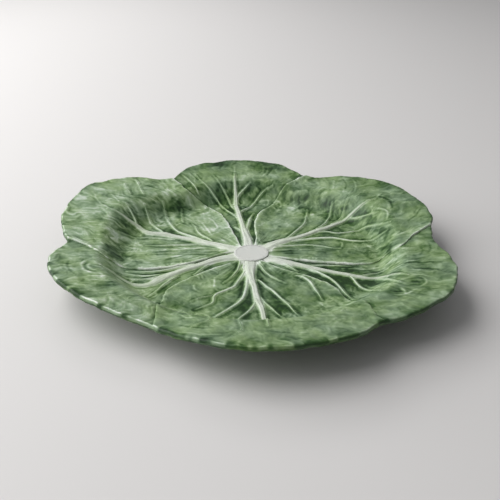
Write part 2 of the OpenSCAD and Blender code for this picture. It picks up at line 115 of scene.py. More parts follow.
def closed(table):
    """A table of angles carried on past the full turn, so that it closes on itself."""
    return [(a - 360, s) for a, s in table[-2:]] + table + [(a + 360, s) for a, s in table[:2]]


def blend(low, high, x):
    """0 below low, 1 above high, and a smooth step between them."""
    t = np.clip((x - low) / (high - low), 0, 1)
    return t * t * (3 - 2 * t)


def bump(x, middle, width):
    """A soft hump, 1 at its middle."""
    return np.exp(-(((x - middle) / width) ** 2))


def noise(x, y, seed, size=128):
    """Smooth random field of about -1 to 1. Its features are one unit across and repeat after the size."""
    lattice = np.random.default_rng(seed).uniform(0, 2 * math.pi, (size, size))
    i, j = np.floor(x).astype(int), np.floor(y).astype(int)
    u, v = x - i, y - j

    def corner(di, dj):
        angle = lattice[(i + di) % size, (j + dj) % size]
        return np.cos(angle) * (u - di) + np.sin(angle) * (v - dj)

    su, sv = (t**3 * (t * (t * 6 - 15) + 10) for t in (u, v))
    near = corner(0, 0) * (1 - su) + corner(1, 0) * su
    far = corner(0, 1) * (1 - su) + corner(1, 1) * su
    return 1.6 * (near * (1 - sv) + far * sv)


def plan(turn, r):
    """X and Y of a place, from its angle and radius."""
    return r * np.cos(np.radians(turn)), r * np.sin(np.radians(turn))


def rim_r(turn):
    """Radius of the rim, with the small waves of a hand-finished edge."""
    waves = 0.8 * noise(*plan(turn, 11), 51) + 0.35 * noise(*plan(turn, 25), 52)
    return platter_r * ease(closed(RIM), turn % 360) + waves


def way_out(turn, r):
    return np.maximum((r - well_r) / (rim_r(turn) - well_r), 0)


def bare_z(turn, r):
    """Height of the plain dish, without leaf edges or wrinkles."""
    t = way_out(turn, r)
    rise = wall_rise_share * blend(0, wall_run_share, t) + (1 - wall_rise_share) * t
    waves = 0.7 * noise(*plan(turn, 12), 53) * blend(0.55, 1, t)
    return floor_z + rim_rise * ease(closed(RISE), turn % 360) * rise + waves


def share_of(r):
    return (r - stalk_r) / (far_r - stalk_r)


def seam_turn(seam, r):
    """Angle of a seam at a radius, with the small waves of a leaf's edge."""
    share = share_of(r)
    wave = 0.5 * noise(r / 5.5, 7.5 + seam % 6, 11) + 0.2 * noise(r / 2.4, 3.5 + seam % 6, 12)
    wave = wave * blend(0.04, 0.2, share) * (1 - blend(0.86, 0.97, share))
    return ease(list(zip(STATIONS, SEAMS[seam])), share) + np.degrees(wave / r)


def edge_space(leaf, turn, r):
    """Space between a place on a leaf and the nearer of its two edges."""
    inside = np.minimum(turn - seam_turn(leaf, r), seam_turn(leaf + 1, r) - turn)
    return np.radians(np.maximum(inside, 0)) * r


# Middle ribs, one list a leaf: share of the way out, angle, and share of a middle rib's width
MIDRIBS = [[
    (0, 43, 1.19), (0.1, 42.8, 1), (0.2, 38.5, 0.65), (0.3, 37.4, 0.49), (0.4, 37.3, 0.57),
    (0.5, 36.9, 0.59), (0.6, 37.4, 0.55), (0.7, 37.4, 0.38), (0.78, 35.8, 0.25), (0.88, 33.8, 0.11),
], [
    (0, 97, 1), (0.1, 96.8, 0.85), (0.2, 97.7, 0.64), (0.3, 98.1, 0.48), (0.4, 98.1, 0.49),
    (0.5, 98.2, 0.51), (0.6, 98.2, 0.46), (0.7, 97.6, 0.38), (0.8, 97.2, 0.23), (0.93, 96.5, 0.1),
], [
    (0, 149, 1), (0.1, 150, 0.81), (0.2, 151.3, 0.69), (0.3, 152.3, 0.69), (0.4, 153.4, 0.6),
    (0.5, 153.9, 0.66), (0.6, 155.6, 0.66), (0.65, 155.1, 0.62), (0.7, 154.4, 0.43),
    (0.78, 155.8, 0.21), (0.9, 157, 0.11),
], [
    (0, 199, 1.12), (0.1, 199.8, 0.94), (0.2, 204.3, 0.79), (0.3, 206.8, 0.69), (0.4, 208.7, 0.75),
    (0.5, 211, 1), (0.56, 212.8, 0.75), (0.62, 212, 0.56), (0.68, 207.8, 0.38), (0.74, 204, 0.22),
    (0.8, 201.8, 0.13),
], [
    (0, 267.5, 1.12), (0.1, 268.3, 1), (0.2, 270.2, 0.62), (0.3, 272.6, 0.52), (0.4, 273.2, 0.62),
    (0.46, 273.9, 0.62), (0.52, 275, 0.46), (0.62, 275.2, 0.42), (0.7, 275.2, 0.25),
    (0.8, 274.8, 0.16), (0.92, 274.6, 0.1),
], [
    (0, 328, 1.12), (0.1, 329.7, 0.91), (0.2, 332, 0.65), (0.3, 332.7, 0.5), (0.4, 333.5, 0.44),
    (0.5, 334.5, 0.47), (0.6, 335, 0.44), (0.7, 336.4, 0.31), (0.76, 335, 0.22), (0.86, 332.6, 0.1),
]]
midrib_w = 8
midrib_start = -0.012
soft_foot_w = 0.75

# Side veins, one list a leaf. Each is its girth, then points of its line: share of the way out, and angle
VEINS = [[
    (0.9, (0.45, 40.3), (0.5, 41), (0.55, 42.2), (0.6, 44.3), (0.65, 46.1), (0.7, 48.2), (0.75, 50)),
    (0.5, (0.58, 39.5), (0.65, 40.2), (0.7, 40.8), (0.75, 42.9), (0.82, 44.3)),
    (
        1.1, (0.17, 42.5), (0.22, 44), (0.3, 47.4), (0.35, 48.7),
        (0.45, 51.3), (0.52, 54.5), (0.6, 57.7), (0.66, 60),
    ),
    (
        1.7, (0.2, 34), (0.27, 31), (0.33, 28.8), (0.4, 26), (0.46, 23.5), (0.5, 20),
        (0.54, 17), (0.6, 14.8), (0.66, 14), (0.72, 13.2), (0.76, 12),
    ),
    (
        1.2, (0.05, 33), (0.1, 29.5), (0.15, 26), (0.2, 23), (0.25, 20.2),
        (0.3, 17.3), (0.35, 14), (0.4, 9.8), (0.45, 8.4),
    ),
    (
        1.1, (0.42, 35.5), (0.47, 32.5), (0.51, 28.5), (0.55, 27), (0.6, 26.2),
        (0.66, 25.5), (0.7, 24.9), (0.735, 21.7), (0.77, 17.6), (0.8, 15.5),
    ),
    (0.8, (0.68, 37), (0.7, 36), (0.72, 33), (0.74, 31), (0.77, 28), (0.8, 25.5)),
    (0.7, (0.03, 20), (0.08, 17.3), (0.13, 15), (0.18, 13.3)),
], [
    (1.5, (0.18, 96.3), (0.25, 94.3), (0.32, 92.6), (0.4, 91), (0.46, 89.6), (0.5, 88.3)),
    (
        1.1, (0.5, 97), (0.54, 95), (0.57, 92.6), (0.6, 90.4), (0.65, 89),
        (0.7, 87.1), (0.74, 85), (0.77, 82.8), (0.79, 80.3),
    ),
    (0.9, (0.7, 97), (0.73, 95.9), (0.76, 93.7), (0.79, 91.6), (0.81, 90.4)),
    (
        0.7, (0.44, 100.3), (0.48, 101.5), (0.55, 104), (0.6, 105),
        (0.7, 106.6), (0.75, 108), (0.86, 111), (1, 111.6),
    ),
    (0.5, (0.56, 99.5), (0.62, 100.4), (0.7, 101.1), (0.76, 102.5), (0.82, 103.9), (0.92, 105.2)),
    (0.8, (0.76, 115), (0.85, 115.3), (0.93, 115.7), (1, 116.4)),
    (0.9, (0.22, 102), (0.26, 103.6), (0.3, 105.8)),
], [
    (0.9, (0.2, 143.3), (0.25, 141), (0.3, 139.8), (0.35, 138), (0.4, 134.6), (0.43, 132.6), (0.48, 132)),
    (
        1.3, (0.22, 149), (0.28, 147.6), (0.35, 147.1), (0.4, 146.8), (0.45, 146.2), (0.5, 144.7),
        (0.54, 142.6), (0.6, 140), (0.65, 137.7), (0.7, 135.7), (0.77, 133),
    ),
    (0.5, (0.53, 134.6), (0.57, 132.6), (0.6, 130.7), (0.65, 128.6), (0.69, 126.5)),
    (
        1, (0.5, 154), (0.53, 152.7), (0.56, 150.8), (0.6, 149.4),
        (0.65, 147.6), (0.7, 145.8), (0.8, 141.8),
    ),
    (0.8, (0.7, 155), (0.73, 153.3), (0.75, 152.1), (0.8, 150.4), (0.86, 148.5)),
    (
        1.1, (0.2, 155.5), (0.25, 158), (0.3, 161.3), (0.35, 164),
        (0.4, 166), (0.45, 167.6), (0.5, 169), (0.56, 169.5),
    ),
    (0.7, (0.42, 157.5), (0.5, 159), (0.58, 160.8), (0.65, 162.7), (0.7, 163.8), (0.75, 166)),
    (0.8, (0.05, 162.5), (0.1, 166), (0.15, 169), (0.2, 171.2), (0.28, 173.5)),
    (0.7, (0.1, 176.8), (0.15, 177.2), (0.26, 177.7), (0.42, 178), (0.52, 180)),
    (0.7, (0.86, 138.5), (0.95, 136), (1, 134.6), (1.08, 133)),
    (0.7, (0.92, 142), (1, 140), (1.08, 137.5)),
], [
    (
        1.4, (0.26, 200.5), (0.33, 201), (0.4, 202), (0.45, 202),
        (0.5, 201), (0.55, 199.7), (0.6, 198.2), (0.65, 196.3),
    ),
    (1, (0.44, 209), (0.48, 208.5), (0.53, 208), (0.58, 207), (0.62, 205.5), (0.66, 203.2), (0.7, 201)),
    (0.9, (0.4, 213.5), (0.45, 215), (0.5, 216.8), (0.55, 219), (0.6, 220.8), (0.65, 221.6)),
    (0.9, (0.18, 210), (0.22, 212.2), (0.27, 215.6), (0.31, 218.6)),
], [
    (0.9, (0.01, 236), (0.03, 241), (0.06, 245), (0.1, 248.2), (0.15, 249), (0.2, 248.3), (0.28, 246)),
    (
        1.4, (0.12, 261), (0.15, 260), (0.2, 258.4), (0.25, 257.3), (0.3, 256.3), (0.33, 254),
        (0.36, 251.5), (0.4, 248.4), (0.44, 247.9), (0.5, 249.8), (0.55, 247.5), (0.6, 245.2),
    ),
    (0.6, (0.42, 247.2), (0.45, 245), (0.47, 242.5), (0.5, 240.6), (0.54, 239.5)),
    (
        1.5, (0.15, 266.5), (0.25, 266.3), (0.33, 266), (0.4, 265.3), (0.45, 263.8),
        (0.5, 261.4), (0.55, 258.8), (0.6, 256.6), (0.66, 254.5), (0.74, 253.5),
    ),
    (1.1, (0.46, 272.6), (0.5, 271.2), (0.54, 269.6), (0.58, 267.6), (0.63, 265.2), (0.72, 264.5)),
    (
        1.1, (0.22, 277.5), (0.25, 280), (0.3, 282.3), (0.35, 284.9), (0.4, 286.2),
        (0.45, 287.3), (0.5, 288.5), (0.6, 289.2), (0.66, 290),
    ),
    (0.7, (0.42, 276), (0.47, 277.3), (0.5, 278.5), (0.55, 280.3), (0.6, 281.8), (0.65, 283.5)),
    (0.9, (0.02, 292.5), (0.06, 290.6), (0.12, 290.3), (0.18, 292), (0.25, 296), (0.3, 299)),
    (
        1.2, (0.27, 313), (0.3, 315), (0.35, 314.8), (0.38, 313.9),
        (0.41, 312.2), (0.45, 310), (0.5, 308), (0.56, 305.5),
    ),
    (0.5, (0.75, 255), (0.85, 257.5), (0.9, 255.5), (0.95, 254)),
    (0.4, (0.8, 265.5), (0.88, 267), (0.95, 267.5), (1, 266)),
], [
    (
        1.3, (0.24, 331.3), (0.3, 330), (0.35, 328.9), (0.4, 327.4), (0.45, 325.6),
        (0.5, 323), (0.55, 320.3), (0.6, 317.8), (0.65, 316.4), (0.7, 315.8),
    ),
    (
        1.1, (0.52, 334), (0.55, 332.4), (0.58, 329.8), (0.62, 327.2),
        (0.68, 325.8), (0.72, 324.5), (0.76, 322.5), (0.8, 319.5),
    ),
    (0.9, (0.68, 336), (0.71, 334.5), (0.75, 332.2), (0.8, 329), (0.86, 326.5)),
    (
        1.1, (0.22, 334.5), (0.26, 335.8), (0.3, 338.5), (0.35, 341),
        (0.4, 343), (0.45, 344.3), (0.5, 345.2),
    ),
    (0.8, (0.58, 336.5), (0.62, 339.5), (0.66, 341.5), (0.7, 343), (0.75, 345.5)),
    (1.4, (0.08, 326.5), (0.12, 325.8), (0.16, 324.8), (0.2, 323), (0.24, 321.2)),
]]
vein_w = 2.2
VEIN_WIDTHS = [(0, 0.3), (0.14, 0.95), (0.6, 0.9), (1, 0.35)]
vein_h = 0.55
vein_margin = 2
ridge_step = 0.8


def ridge_line(leaf, table, low, high):
    """Places along the middle of a rib or vein: angle, radius, share of the way out, and how far along."""
    count = int((high - low) * (far_r - stalk_r) / ridge_step) + 2
    along = np.linspace(0, 1, count)
    share = low + along * (high - low)
    r = stalk_r + share * (far_r - stalk_r)
    margin = np.degrees(vein_margin / r)
    turn = np.clip(ease(table, share), seam_turn(leaf, r) + margin, seam_turn(leaf + 1, r) - margin)
    return turn, r, share, along


def midrib_line(leaf):
    table = [(share, turn) for share, turn, _ in MIDRIBS[leaf]]
    turn, r, share, along = ridge_line(leaf, table, midrib_start, table[-1][0])
    half_w = midrib_w / 2 * ease([(share, w) for share, _, w in MIDRIBS[leaf]], share)
    return turn, r, along, half_w + soft_foot_w * (1 - 0.6 * along)


def vein_line(leaf, vein):
    turn, r, _, along = ridge_line(leaf, vein[1:], vein[1][0], vein[-1][0])
    return turn, r, along, vein_w / 2 * vein[0] * ease(VEIN_WIDTHS, along)


def line_segments(lines):
    """Short straight lengths along lines on a leaf: two ends and a half width each."""
    starts, ends, widths = [], [], []
    for turn, r, _, half_w in lines:
        line = np.stack(plan(turn, r), axis=1)
        picks = np.unique(np.append(np.arange(0, len(line), 3), len(line) - 1))
        starts.append(line[picks[:-1]])
        ends.append(line[picks[1:]])
        widths.append((half_w[picks[:-1]] + half_w[picks[1:]]) / 2)
    return np.concatenate(starts), np.concatenate(ends), np.concatenate(widths)


MIDRIB_SEGMENTS = [line_segments([midrib_line(leaf)]) for leaf in range(len(LEAVES))]
VEIN_SEGMENTS = [
    line_segments([vein_line(leaf, vein) for vein in veins]) for leaf, veins in enumerate(VEINS)
]


def space_to(segments, x, y, batch=4000):
    """Space from each place to the side of the nearest of some segments, a batch of places at a time."""
    starts, ends, widths = segments
    middles, runs = (starts + ends) / 2, ends - starts
    places = np.stack([x.ravel(), y.ravel()], axis=1)
    space = np.full(len(places), 1e3)
    nearest = np.empty(len(places), int)
    for first in range(0, len(places), batch):
        part = places[first:first + batch]
        gaps = np.hypot(part[:, :1] - middles[:, 0], part[:, 1:] - middles[:, 1]) - widths
        nearest[first:first + batch] = gaps.argmin(axis=1)
    for step in (-1, 0, 1):
        n = np.clip(nearest + step, 0, len(starts) - 1)
        off = places - starts[n]
        t = np.clip((off * runs[n]).sum(axis=1) / (runs[n] ** 2).sum(axis=1), 0, 1)
        space = np.minimum(np.hypot(*(off - t[:, None] * runs[n]).T) - widths[n], space)
    return np.maximum(space, 0).reshape(x.shape)


# Fine wrinkles and curls, one list a leaf: width, how much thicker the glaze is, and points of the line by
# share of the way out and angle. A wrinkle with thinner glaze is raised, the others are hollow
STROKES = [[
    (1.8, 0.35, (0.2, 45), (0.16, 49), (0.12, 54), (0.08, 61), (0.05, 69)),
    (1.2, -0.25, (0.44, 8), (0.465, 10.5), (0.48, 14), (0.485, 20)),
    (1.3, -0.3, (0.78, 17), (0.82, 20), (0.84, 23), (0.83, 26), (0.8, 29)),
    (1.6, 0.25, (0.86, 22), (0.9, 25), (0.93, 29), (0.92, 34), (0.88, 36)),
    (1.1, -0.22, (0.8, 35), (0.86, 34.4), (0.93, 34.8), (1, 36)),
    (1.1, -0.22, (0.5, 51), (0.56, 55), (0.62, 59), (0.68, 64)),
    (1.2, -0.3, (0.6, 75.5), (0.63, 74.2), (0.67, 74.6), (0.69, 76.5), (0.68, 78.4)),
    (1.1, -0.2, (0.1, 8), (0.2, 12), (0.3, 8), (0.42, 2)),
    (1.1, -0.22, (0.04, 50), (0.08, 56), (0.06, 66), (0.1, 76), (0.2, 80)),
    (1.1, -0.2, (0.86, 44), (0.95, 47), (1.04, 52)),
    (1.1, 0.2, (0.84, 48), (0.94, 51), (1.02, 56)),
    (1.1, 0.2, (0.88, 12), (0.96, 14.5), (1.05, 19)),
], [
    (1.6, -0.25, (0.2, 101.5), (0.25, 104), (0.3, 107)),
    (1.1, -0.2, (0.85, 96.8), (0.95, 96.5), (1.05, 96)),
    (1.1, -0.22, (0.3, 81), (0.38, 79.5), (0.46, 81), (0.5, 84)),
    (1.1, 0.22, (0.88, 112), (0.96, 112.6), (1.05, 113.2)),
    (1.1, -0.2, (0.86, 86), (0.95, 84), (1.05, 83.6)),
    (1.2, 0.25, (0.88, 84), (0.97, 82.6), (1.06, 82.2)),
], [
    (1.1, -0.28, (0.535, 134.5), (0.538, 138), (0.53, 142.5)),
    (1.3, -0.26, (0.16, 160), (0.24, 166), (0.34, 171), (0.46, 174.5), (0.56, 176)),
    (1.2, -0.24, (0.14, 170), (0.24, 177), (0.34, 182), (0.45, 185.5), (0.54, 187)),
    (1.2, -0.24, (0.07, 170), (0.12, 178), (0.18, 185), (0.26, 190.5), (0.38, 194)),
    (1.4, 0.22, (0.1, 163), (0.18, 170), (0.28, 175), (0.4, 178.5)),
    (1.4, 0.24, (0.2, 158), (0.3, 163.5), (0.4, 168.6), (0.5, 171.6)),
    (1.3, 0.22, (0.28, 180), (0.36, 185.5), (0.46, 189.5)),
    (1.1, -0.22, (0.86, 156.6), (0.96, 155.4), (1.04, 153), (1.1, 150)),
    (1, -0.2, (0.86, 151), (0.95, 148.5), (1.05, 146)),
    (1.3, 0.22, (0.8, 128), (0.9, 131), (1, 134)),
    (1.2, 0.22, (0.85, 143.5), (0.95, 146), (1.05, 147.5)),
    (1.1, -0.2, (0.8, 166), (0.9, 168), (1, 170)),
    (1.2, -0.25, (0.25, 134), (0.32, 130), (0.4, 127), (0.5, 124)),
    (1.1, -0.22, (0.3, 122), (0.36, 119), (0.45, 117.5), (0.55, 119)),
], [
    (
        1.6, -0.2, (0.8, 196.5), (0.85, 197.5), (0.89, 199.5), (0.915, 203),
        (0.905, 207), (0.86, 209.8), (0.8, 209),
    ),
    (1.4, -0.2, (0.83, 201), (0.87, 202), (0.88, 204.5), (0.86, 206.8), (0.83, 205.5)),
    (1.4, 0.12, (0.81, 199), (0.87, 200), (0.9, 203.5), (0.885, 207.2), (0.84, 208.3)),
    (1.2, -0.25, (0.77, 212.5), (0.86, 212), (0.94, 209.5)),
    (1.1, -0.22, (0.79, 217), (0.88, 214.5), (0.97, 211.5)),
    (1.3, 0.22, (0.965, 197), (0.99, 203), (0.975, 209)),
    (1.5, -0.34, (0.3, 201.4), (0.38, 202.6), (0.45, 202.6), (0.52, 201.4), (0.6, 198.8), (0.66, 195.5)),
    (1.3, -0.3, (0.42, 205.4), (0.5, 205.2), (0.57, 203.5), (0.63, 200.5), (0.68, 197)),
    (1.6, 0.3, (0.36, 205), (0.46, 204), (0.54, 203), (0.62, 199.6)),
    (1.5, 0.25, (0.46, 206.8), (0.55, 205.8), (0.62, 203)),
    (1.6, -0.1, (0.9, 222), (0.94, 227), (0.93, 233)),
    (1.5, 0.1, (0.86, 221), (0.89, 227), (0.875, 234)),
], [
    (1.4, -0.16, (0.97, 247), (1.01, 252), (1.02, 259), (0.99, 265), (0.9, 268)),
    (1.2, -0.24, (0.66, 256), (0.75, 256.5), (0.85, 257.6)),
    (1.3, 0.22, (0.93, 249), (0.95, 256), (0.935, 262)),
    (1.3, -0.28, (0.36, 251), (0.37, 247), (0.34, 243)),
    (1.3, -0.26, (0.2, 290.5), (0.1, 290), (0.055, 296), (0.035, 305)),
    (1.2, -0.24, (0.24, 233), (0.3, 239), (0.36, 243.5)),
    (1.2, -0.24, (0.38, 228), (0.42, 233), (0.43, 239)),
    (1.5, 0.12, (0.87, 281), (0.9, 286), (0.91, 292)),
    (1.5, 0.12, (0.96, 272), (0.99, 278), (1.03, 283)),
    (1.2, -0.22, (0.8, 246), (0.84, 250), (0.82, 255)),
    (1.4, -0.12, (0.84, 289), (0.88, 295), (0.94, 299)),
], [
    (1.3, -0.32, (0.88, 317.8), (0.93, 319), (0.955, 321.5), (0.965, 325)),
    (1.2, -0.28, (0.87, 323.8), (0.92, 322), (0.945, 320)),
    (1.5, 0.34, (0.87, 320), (0.91, 320.8), (0.88, 322)),
    (2.2, 0.34, (0.9, 328.6), (0.935, 329), (0.965, 329)),
    (1.2, -0.24, (0.89, 331.5), (0.95, 332), (0.985, 329.5), (0.97, 326.5), (0.91, 326)),
    (1.5, -0.35, (0.74, 336), (0.79, 334), (0.84, 332.5)),
    (1.1, -0.2, (0.86, 332), (0.93, 333.5), (0.98, 333)),
    (1.1, 0.26, (0.82, 337.3), (0.92, 337.8), (1.07, 338.8)),
    (1.1, 0.26, (0.78, 341.5), (0.9, 342), (1.05, 343)),
    (1.3, 0.13, (0.88, 346), (0.905, 350), (0.885, 354)),
    (1.3, 0.13, (0.93, 347), (0.95, 352), (0.935, 358)),
    (1.2, -0.24, (0.76, 340), (0.84, 342.6), (0.93, 345)),
    (1.3, -0.26, (0.3, 337), (0.4, 340.5), (0.5, 342.5), (0.6, 344.5), (0.7, 349)),
    (1.2, -0.24, (0.1, 333.5), (0.2, 337.5), (0.3, 341), (0.42, 343.4)),
    (1.2, -0.22, (0.52, 336), (0.58, 338.5), (0.66, 341), (0.73, 346)),
]]


def stroke_marks(leaf, x, y):
    """Relief and glaze of a leaf's wrinkles and curls."""
    relief, glaze = np.zeros(x.shape), np.zeros(x.shape)
    for width, depth, *points in STROKES[leaf]:
        t = np.linspace(0, len(points) - 1, 14 * len(points))
        share, turn = (ease(list(enumerate(column)), t) for column in zip(*points))
        r = stalk_r + share * (far_r - stalk_r)
        line_x, line_y = plan(turn, r)
        reach = 4 * width
        close = (x > line_x.min() - reach) & (x < line_x.max() + reach)
        close &= (y > line_y.min() - reach) & (y < line_y.max() + reach)
        if not close.any():
            continue
        gaps = np.hypot(x[close][:, None] - line_x, y[close][:, None] - line_y)
        gap, along = gaps.min(axis=1), gaps.argmin(axis=1) / (len(t) - 1)
        taper = blend(0, 0.25, along) * (1 - blend(0.7, 1, along))
        body = taper * bump(gap, 0, 0.62 * width)
        flank = taper * bump(gap, 1.5 * width, 0.7 * width)
        glaze[close] += depth * (body - 0.3 * flank)
        relief[close] -= 0.7 * depth * body
    return relief, glaze


# Pools where the glaze lies thick, and bare patches where it runs thin, one list a leaf: from and to which
# share of the way out, from and to which angle, and how much thicker the glaze is. The broad pools along the
# walls are partly painted shade, which darkens those walls as a whole
GLAZE_POOLS_AND_SHADE = [[
    (0.65, 0.76, 31, 36, 0.4), (0.52, 0.61, 30, 35, 0.25), (0.41, 0.51, 27, 35, 0.3),
    (0.69, 0.75, 49, 57, 0.35), (0.67, 0.75, 61, 69, 0.35), (0.69, 0.74, 69, 76, 0.3),
    (0.54, 0.63, 57, 62, 0.15), (0.49, 0.59, 71, 81, 0.2), (0.61, 0.67, 75, 78, 0.3),
    (0.05, 0.21, 43, 60, 0.2), (0.41, 0.56, -6, 3, 0.2), (0.29, 0.39, -1, 10, 0.15),
    (0.09, 0.18, 2, 13, 0.15), (0.89, 0.96, 24, 36, 0.15), (0.55, 0.68, 15.5, 22, 0.15),
    (0.66, 0.8, 38, 78, 0.14), (0.58, 0.8, -9, 8, 0.16), (0.49, 0.69, 49, 57, -0.15),
    (0.49, 0.68, 62, 71, -0.22), (0.15, 0.4, 52, 78, -0.1), (0.78, 0.88, 44, 66, -0.12),
    (1.0, 1.12, 20, 60, 0.12),
], [
    (0.66, 0.81, 98.5, 113, 0.28), (0.69, 0.82, 79, 96, 0.26), (0.49, 0.63, 91, 97, 0.2),
    (0.34, 0.51, 90, 97, 0.2), (0.2, 0.49, 87, 91, 0.25), (0.05, 0.19, 82, 90, 0.4),
    (0.07, 0.22, 103, 113, 0.25), (0.49, 0.66, 100, 105, 0.25), (0.49, 0.63, 79, 87, 0.2),
    (1.06, 1.14, 99, 104, 0.3), (1.0, 1.14, 78, 114, 0.16), (0.93, 1.12, 80, 89, 0.2),
    (0.89, 0.98, 69, 75, 0.25), (0.6, 0.67, 105, 110, -0.25), (0.56, 0.62, 87, 90, -0.2),
    (0.84, 0.93, 88, 94, -0.15), (0.82, 0.9, 97, 108, -0.1), (1.0, 1.1, 90, 96, -0.1),
    (0.63, 0.7, 83, 87, -0.25),
], [
    (0.69, 0.76, 123, 133, 0.5), (0.71, 0.81, 133, 143, 0.3), (0.69, 0.81, 146, 155, 0.3),
    (0.59, 0.69, 115, 122, 0.2), (0.69, 0.75, 111, 116, 0.25), (0.6, 0.71, 119, 131, 0.2),
    (0.29, 0.52, 148.5, 151.5, 0.25), (0.21, 0.43, 142, 146.5, 0.15), (0.3, 0.39, 132, 139, 0.12),
    (0.44, 0.61, 146, 151, 0.25), (0.64, 0.77, 178, 188, 0.5), (0.69, 0.81, 156, 165, 0.35),
    (0.65, 0.73, 170, 177, 0.25), (0.09, 0.22, 155, 162, 0.15), (0.27, 0.56, 155.5, 159, 0.15),
    (0.44, 0.49, 189, 195, 0.2), (0.41, 0.43, 189, 198, 0.15), (0.29, 0.41, 184, 192, 0.15),
    (0.05, 0.2, 176, 188, 0.2), (0.2, 0.35, 190, 197, 0.2), (0.25, 0.4, 175, 185, -0.15),
    (0.1, 0.5, 114, 136, -0.08), (0.5, 0.58, 112, 126, -0.1), (0.9, 1.0, 145, 170, -0.06),
    (0.92, 1.02, 126, 132, 0.15), (0.85, 0.95, 136, 142, 0.12),
], [
    (0.19, 0.35, 195, 200, 0.2), (0.09, 0.27, 211, 219, 0.25), (0.83, 0.93, 216, 221, 0.2),
    (0.89, 0.98, 209, 215, 0.15), (0.92, 0.96, 201, 208, 0.15), (0.97, 1.04, 196, 202, 0.15),
    (0.6, 0.7, 198, 204, 0.12), (0.42, 0.56, 217, 221, 0.12), (0.7, 0.85, 222, 236, -0.06),
    (0.86, 0.93, 184, 192, 0.15), (1.0, 1.08, 226, 244, 0.1),
], [
    (0.19, 0.41, 261, 265.2, 0.35), (0.34, 0.43, 256.5, 262, 0.2), (0.41, 0.58, 262.5, 269.5, 0.4),
    (0.28, 0.46, 266.5, 271, 0.3), (0.48, 0.61, 257.5, 263, 0.2), (0.07, 0.22, 238, 248, 0.2),
    (0.14, 0.27, 251, 257, 0.15), (0.32, 0.39, 242, 247, 0.15), (0.55, 0.63, 231, 242, 0.15),
    (0.04, 0.27, 275, 285, 0.4), (0.23, 0.43, 275, 279, 0.25), (0.41, 0.61, 280, 287, 0.4),
    (0.14, 0.27, 297, 311, 0.15), (0.29, 0.36, 309, 316, 0.15), (0.36, 0.43, 289, 301, 0.18),
    (0.11, 0.25, 316, 322, 0.3), (0.32, 0.39, 234, 241, -0.15), (0.49, 0.57, 239, 246, -0.15),
    (0.27, 0.33, 296, 306, -0.15), (0.06, 0.13, 293, 303, -0.15), (0.45, 0.6, 291, 303, 0.1),
    (0.8, 0.88, 284, 300, -0.06), (0.88, 0.94, 246, 262, 0.08), (1.02, 1.1, 262, 290, 0.08),
], [
    (0.23, 0.62, 319, 330.5, 0.4), (0.43, 0.67, 327, 334, 0.35), (0.04, 0.52, 336, 345.5, 0.35),
    (0.6, 0.72, 329, 335, 0.15), (0.44, 0.61, 337, 343, 0.25), (0.84, 0.98, 317, 324, 0.15),
    (0.89, 0.98, 326, 332, 0.25), (0.99, 1.04, 319, 331, 0.15), (0.85, 1.1, 337.3, 338.7, 0.2),
    (0.8, 1.08, 341.3, 342.7, 0.2), (0.84, 0.96, 345, 352, 0.1), (0.62, 0.8, 343, 352, -0.15),
    (0.7, 0.84, 321, 331, -0.1), (0.9, 1.0, 352, 362, 0.1),
]]
# Base glaze of each leaf. The back left and front left leaves are paler, partly in their own tone and partly
# as painted light for the brighter light and sheen on the left side
LEAF_TONES_AND_LIGHT = [0.55, 0.55, 0.42, 0.45, 0.54, 0.54]
CRUMPLED = [0.55, 1, 0.6, 0.35, 0.7, 0.4]
STREAKED = [1, 0.6, 1.5, 1.3, 0.7, 1]
FRONT_LEAVES = [LEAVES.index(name) for name in ("front_left", "front", "front_right")]


def creases(x, y, seed):
    """Thin winding lines, 1 on a line and 0 away from it."""
    return bump(noise(x, y, seed), 0, 0.13)


